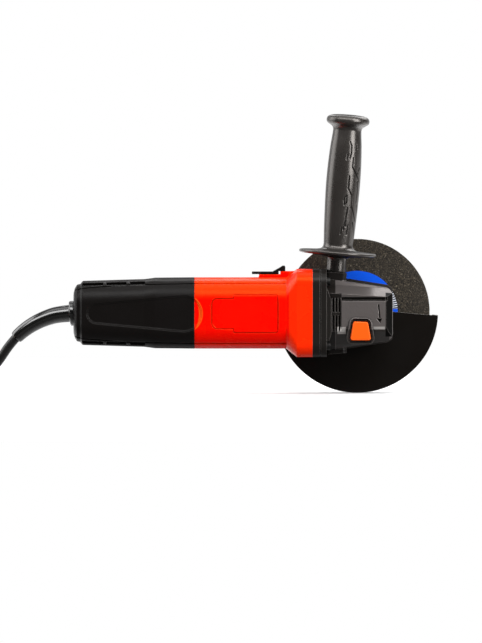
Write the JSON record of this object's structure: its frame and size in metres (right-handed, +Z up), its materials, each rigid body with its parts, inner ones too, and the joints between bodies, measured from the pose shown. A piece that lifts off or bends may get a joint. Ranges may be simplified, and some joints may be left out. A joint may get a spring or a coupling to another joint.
{
  "type": "angle grinder",
  "caption": "Corded angle grinder with flat abrasive disc, half guard, side handle, slide switch, spindle lock button and coiled mains lead with plug.",
  "frame": {"origin": "middle of the underside of the tool without its lead: the floor level that the guard's lowest edge stands on, midway between rear cover and guard edge, and midway between lock button and spindle end", "axes": "+X from the cord end to the gear-case nose, +Y along the spindle from the lock button to the abrasive disc, +Z up, on the side handle's side"},
  "size_m": [0.4926, 0.161, 0.2397],
  "materials": {
    "housing_orange": "satin",
    "cover_black": "satin, fine moulded grain",
    "gear_case_paint": "black satin paint over die casting",
    "steel": "machined",
    "guard_black": "black powder coat with worn edges",
    "abrasive": "gritty resin-bonded abrasive",
    "label_blue": "printed blotter",
    "button_orange": "satin",
    "grip_black": "satin moulded",
    "laminations": "lacquered sheet stack",
    "copper": "enamelled wire",
    "brass": "plain",
    "carbon": "sintered carbon",
    "plastic_inner": "glass-filled nylon",
    "rubber_black": "smooth"
  },
  "bodies": {
    "body": {"bearing_boot": "rubber_black", "bearing_cover": "gear_case_paint", "bearing_cover_screws": "steel", "bearing_retainer": "steel", "brush_holders": "brass", "brush_springs": "steel", "carbon_brushes": "carbon", "cord_clamp": "plastic_inner", "cord_clamp_screws": "steel", "cord_coil": "rubber_black", "cord_tail": "rubber_black", "cord_tube": "rubber_black", "dust_seal": "rubber_black", "fan_baffle": "plastic_inner", "front_bearing_outer": "steel", "gear_case": "gear_case_paint", "gear_case_screws": "steel", "inner_wires": "rubber_black", "lock_spring": "steel", "mains_plug": "rubber_black", "motor_housing": "housing_orange", "needle_bearing": "steel", "plug_pins": "brass", "rear_bearing_outer": "steel", "rear_cover_left": "cover_black", "rear_cover_right": "cover_black", "rear_cover_screws": "steel", "retainer_screws": "steel", "side_handle_grip": "grip_black", "side_handle_stud": "steel", "spindle_bearing_balls": "steel", "spindle_bearing_outer": "steel", "stator_coils": "copper", "stator_core": "laminations", "strain_relief": "rubber_black", "switch_body": "plastic_inner"},
    "spindle_group": {"spindle": "steel", "gear_circlip": "steel", "crown_gear": "steel", "spindle_bearing_inner": "steel", "inner_flange": "steel", "grinding_disc": "abrasive", "disc_label": "label_blue", "flange_nut": "steel"},
    "rotor_group": {"rotor_shaft": "steel", "rotor_core": "laminations", "rotor_windings": "copper", "commutator": "copper", "cooling_fan": "plastic_inner", "pinion_gear": "steel", "pinion_nut": "steel", "front_bearing_inner": "steel", "rear_bearing_inner": "steel"},
    "lock_group": {"lock_button": "button_orange", "lock_pin": "steel"},
    "slider_group": {"switch_slider": "cover_black", "switch_rod": "plastic_inner"},
    "guard_group": {"guard": "guard_black", "guard_clamp_band": "guard_black", "guard_clamp_screw": "steel"}
  },
  "joints": [
    {"name": "spindle_spin", "type": "hinge", "parent": "body", "child": "spindle_group", "pos_m": [0.08654, -0.01125, 0.0696], "axis": [0, 1, 0], "continuous": true},
    {"name": "rotor_spin", "type": "hinge", "parent": "body", "child": "rotor_group", "pos_m": [0.08654, -0.01125, 0.0696], "axis": [1, 0, 0], "continuous": true},
    {"name": "lock_press", "type": "slide", "parent": "body", "child": "lock_group", "axis": [0, 1, 0], "range_m": [0, 0.004], "stiffness_N_per_m": 500, "springref_m": -0.002, "deforming": ["lock_spring"]},
    {"name": "switch_slide", "type": "slide", "parent": "body", "child": "slider_group", "axis": [1, 0, 0], "range_m": [0, 0.007]},
    {"name": "guard_turn", "type": "hinge", "parent": "body", "child": "guard_group", "pos_m": [0.08654, -0.01125, 0.0696], "axis": [0, 1, 0], "range_deg": [-60, 60]}
  ],
  "couplings": [
    {"joint": "rotor_spin", "follows": "spindle_spin", "ratio": 3.1}
  ]
}
